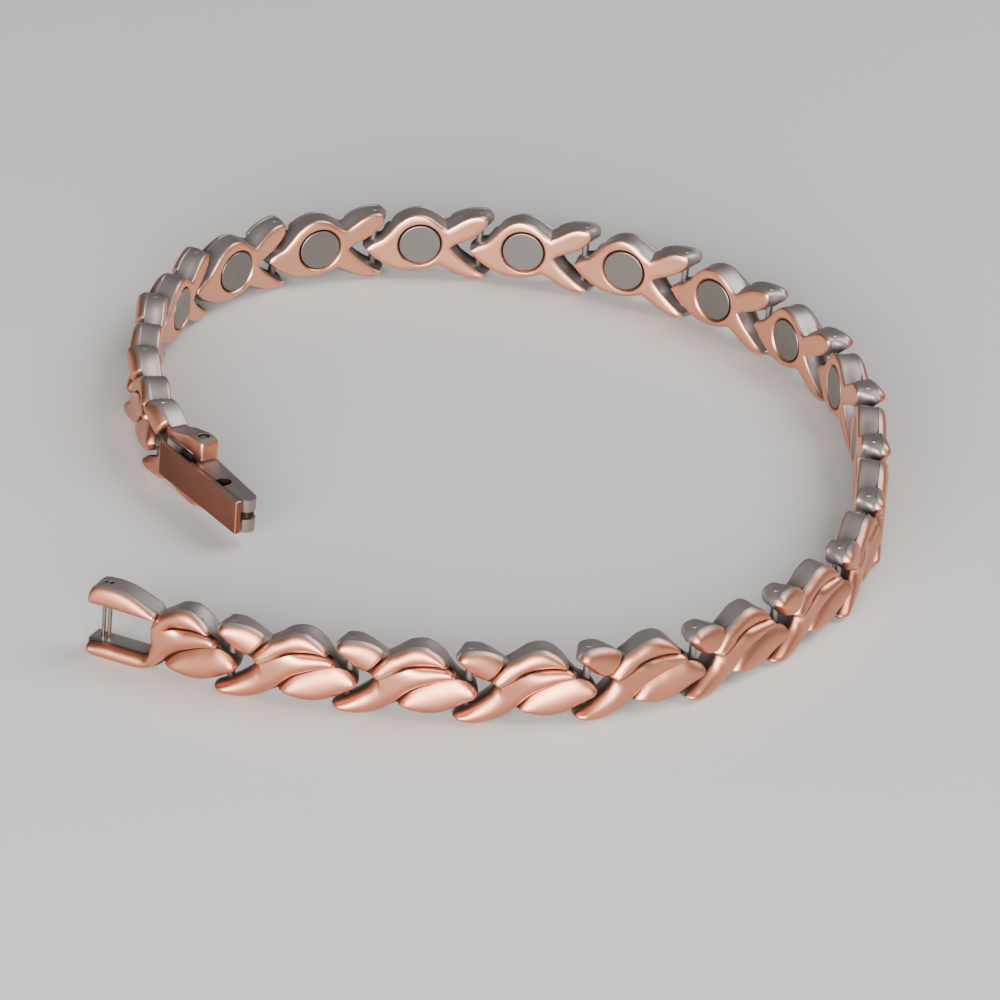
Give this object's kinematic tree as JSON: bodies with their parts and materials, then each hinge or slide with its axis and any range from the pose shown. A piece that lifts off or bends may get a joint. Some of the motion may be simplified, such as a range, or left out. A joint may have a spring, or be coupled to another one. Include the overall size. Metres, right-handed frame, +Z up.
{
  "type": "magnetic link bracelet",
  "caption": "Copper-coloured link bracelet lying open on its edge: sculpted links on steel pins, a disc magnet in the inner face of each link, and a hinged fold-over clasp.",
  "frame": {"origin": "middle of the loop's bounding box, on the surface that the bracelet lies on", "axes": "+Z up, along the joint pins and across the bracelet's width; -Y towards the catch end, +X from the clasp across the loop"},
  "size_m": [0.059, 0.072, 0.006],
  "materials": {
    "link_copper": "satin brushed copper with dark grooves",
    "clasp_copper": "satin brushed copper",
    "magnet": "satin grey nickel",
    "pin_steel": "dark polished steel",
    "rod_steel": "polished steel"
  },
  "bodies": {
    "bracelet": {"link_01": "link_copper", "link_02": "link_copper", "link_03": "link_copper", "link_04": "link_copper", "link_05": "link_copper", "link_06": "link_copper", "link_07": "link_copper", "link_08": "link_copper", "link_09": "link_copper", "link_10": "link_copper", "link_11": "link_copper", "link_12": "link_copper", "link_13": "link_copper", "link_14": "link_copper", "link_15": "link_copper", "link_16": "link_copper", "link_17": "link_copper", "link_18": "link_copper", "link_19": "link_copper", "link_20": "link_copper", "link_21": "link_copper", "link_22": "link_copper", "magnet_01": "magnet", "magnet_02": "magnet", "magnet_03": "magnet", "magnet_04": "magnet", "magnet_05": "magnet", "magnet_06": "magnet", "magnet_07": "magnet", "magnet_08": "magnet", "magnet_09": "magnet", "magnet_10": "magnet", "magnet_11": "magnet", "magnet_12": "magnet", "magnet_13": "magnet", "magnet_14": "magnet", "magnet_15": "magnet", "magnet_16": "magnet", "magnet_17": "magnet", "magnet_18": "magnet", "magnet_19": "magnet", "magnet_20": "magnet", "magnet_21": "magnet", "link_pins": "pin_steel", "catch_rods": "rod_steel", "clasp_pivot_pin": "pin_steel"},
    "clasp_tray": {"clasp_tray": "clasp_copper", "clasp_tongue": "rod_steel", "clasp_hinge_pin": "pin_steel"},
    "clasp_cover": {"clasp_cover": "clasp_copper"}
  },
  "joints": [
    {"name": "tray_pivot", "type": "hinge", "parent": "bracelet", "child": "clasp_tray", "pos_m": [-0.02254, -0.00643, 0.0028], "axis": [0, 0, 1], "range_deg": [0, 40]},
    {"name": "cover_hinge", "type": "hinge", "parent": "clasp_tray", "child": "clasp_cover", "pos_m": [-0.01878, -0.01217, 0.0028], "axis": [0, 0, 1], "range_deg": [0, 150]}
  ]
}
